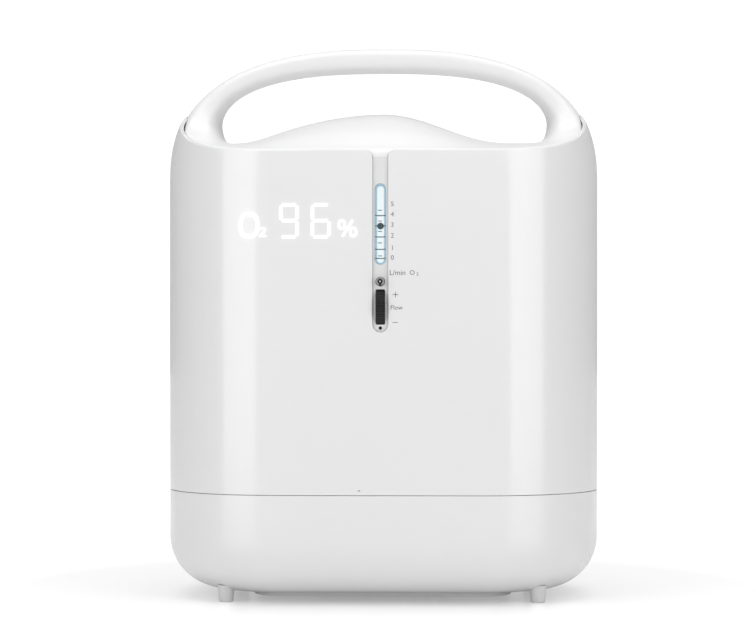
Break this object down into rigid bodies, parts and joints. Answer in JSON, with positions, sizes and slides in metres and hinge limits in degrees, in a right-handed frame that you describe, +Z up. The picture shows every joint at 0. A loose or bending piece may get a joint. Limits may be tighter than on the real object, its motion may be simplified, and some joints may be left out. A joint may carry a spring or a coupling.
{
  "type": "oxygen concentrator",
  "caption": "Free-standing home oxygen concentrator with an arched carrying handle, front flow meter, thumbwheel valve, lit display and rear filters.",
  "frame": {"origin": "on the floor under the middle of the cabinet", "axes": "+Z up, the front with the display faces -Y, +X is to the right as seen from the front"},
  "size_m": [0.36, 0.2495, 0.4624],
  "materials": {
    "white_gloss": "smooth white moulded plastic with a soft gloss",
    "strip_white": "smooth white plastic strip with a printed grey scale",
    "steel": "plain bright steel",
    "chrome": "polished chrome",
    "clear_tube": "clear acrylic, faintly cyan, lit from behind",
    "black_plastic": "black plastic with a dull sheen",
    "brass": "machined brass",
    "circuit_board": "green solder resist",
    "light_white": "white light guides that glow",
    "rubber": "black moulded rubber",
    "cast_aluminium": "die-cast aluminium",
    "rotor_iron": "dark laminated iron",
    "vessel_white": "white powder-coated vessel",
    "copper": "drawn copper tube",
    "rocker_green": "translucent green rocker",
    "filter_paper": "pleated filter paper in a card frame",
    "foam_grey": "open-cell grey foam",
    "bottle_clear": "clear polycarbonate bottle",
    "cap_blue": "blue ribbed screw cap",
    "silicone": "milky silicone tube"
  },
  "bodies": {
    "cabinet": {"base_shell": "white_gloss", "upper_shell": "white_gloss", "top_cover": "white_gloss", "handle_liner": "white_gloss", "rear_cover": "white_gloss", "cover_screws": "steel", "control_strip": "strip_white", "flow_tube": "clear_tube", "tube_barbs": "brass", "wheel_bracket": "black_plastic", "valve_body": "brass", "outlet_nozzle": "chrome", "display_board": "circuit_board", "display_segments": "light_white", "underside_plate": "white_gloss", "feet": "white_gloss", "foot_screws": "steel", "base_tray": "steel", "compressor_cradle": "steel", "rubber_mounts": "rubber", "motor_housing": "cast_aluminium", "shaft_bearings": "steel", "crankcases": "cast_aluminium", "cylinders": "cast_aluminium", "cylinder_heads": "cast_aluminium", "upper_deck": "steel", "deck_pillars": "steel", "sieve_bed_left": "vessel_white", "sieve_bed_right": "vessel_white", "bed_manifold": "cast_aluminium", "product_tank": "vessel_white", "valve_block": "cast_aluminium", "pressure_regulator": "brass", "heat_exchanger": "copper", "fan_frame": "black_plastic", "control_board": "circuit_board", "power_supply": "steel", "capacitor": "vessel_white", "power_inlet": "black_plastic", "switch_frame": "black_plastic", "hepa_filter": "filter_paper", "humidifier_bay": "white_gloss", "hoses": "silicone"},
    "float": {"float_ball": "black_plastic"},
    "flow_wheel": {"flow_wheel": "black_plastic"},
    "needle": {"valve_needle": "steel"},
    "crank": {"crank_shaft": "steel", "motor_rotor": "rotor_iron", "shaft_fans": "black_plastic"},
    "piston_left": {"piston_left": "cast_aluminium"},
    "piston_right": {"piston_right": "cast_aluminium"},
    "plunger_left": {"valve_plunger_left": "steel"},
    "plunger_right": {"valve_plunger_right": "steel"},
    "fan": {"fan_rotor": "black_plastic"},
    "rocker": {"power_rocker": "rocker_green"},
    "intake_door": {"filter_door": "white_gloss"},
    "grille": {"cabinet_grille": "white_gloss", "cabinet_filter": "foam_grey"},
    "bottle": {"humidifier_bottle": "bottle_clear"},
    "bottle_cap": {"humidifier_cap": "cap_blue"}
  },
  "joints": [
    {"name": "flow_wheel_turn", "type": "hinge", "parent": "cabinet", "child": "flow_wheel", "pos_m": [0, -0.1079, 0.2416], "axis": [-1, 0, 0], "range_deg": [-270, 180]},
    {"name": "needle_slide", "type": "slide", "parent": "flow_wheel", "child": "needle", "axis": [-1, 0, 0], "range_m": [-0.00076, 0.00051]},
    {"name": "float_rise", "type": "slide", "parent": "cabinet", "child": "float", "axis": [0, 0, 1], "range_m": [-0.0266, 0.0284]},
    {"name": "power_rocker_tilt", "type": "hinge", "parent": "cabinet", "child": "rocker", "pos_m": [-0.04, 0.117, 0.07], "axis": [-1, 0, 0], "range_deg": [0, 16]},
    {"name": "intake_door_swing", "type": "hinge", "parent": "cabinet", "child": "intake_door", "pos_m": [-0.078, 0.1188, 0.279], "axis": [0, 0, 1], "range_deg": [0, 100]},
    {"name": "grille_pull", "type": "slide", "parent": "cabinet", "child": "grille", "axis": [0, 1, 0], "range_m": [0, 0.05]},
    {"name": "bottle_pull", "type": "slide", "parent": "cabinet", "child": "bottle", "axis": [0, 1, 0], "range_m": [0, 0.11]},
    {"name": "bottle_cap_turn", "type": "hinge", "parent": "bottle", "child": "bottle_cap", "pos_m": [0.044, 0.07, 0.318], "axis": [0, 0, 1], "range_deg": [0, 270]},
    {"name": "crank_spin", "type": "hinge", "parent": "cabinet", "child": "crank", "pos_m": [0, 0.005, 0.09], "axis": [1, 0, 0], "continuous": true},
    {"name": "piston_left_stroke", "type": "slide", "parent": "cabinet", "child": "piston_left", "axis": [0, 0, 1], "range_m": [-0.005, 0.005]},
    {"name": "piston_right_stroke", "type": "slide", "parent": "cabinet", "child": "piston_right", "axis": [0, 0, 1], "range_m": [-0.005, 0.005]},
    {"name": "fan_spin", "type": "hinge", "parent": "cabinet", "child": "fan", "pos_m": [0.078, 0.022, 0.1705], "axis": [0, 0, 1], "continuous": true},
    {"name": "plunger_left_lift", "type": "slide", "parent": "cabinet", "child": "plunger_left", "axis": [0, 0, 1], "range_m": [0, 0.003], "stiffness_N_per_m": 100, "springref_m": -0.002},
    {"name": "plunger_right_lift", "type": "slide", "parent": "cabinet", "child": "plunger_right", "axis": [0, 0, 1], "range_m": [0, 0.003], "stiffness_N_per_m": 100, "springref_m": -0.002}
  ],
  "couplings": [
    {"joint": "needle_slide", "follows": "flow_wheel_turn", "m_per_rad": 0.00015915}
  ]
}
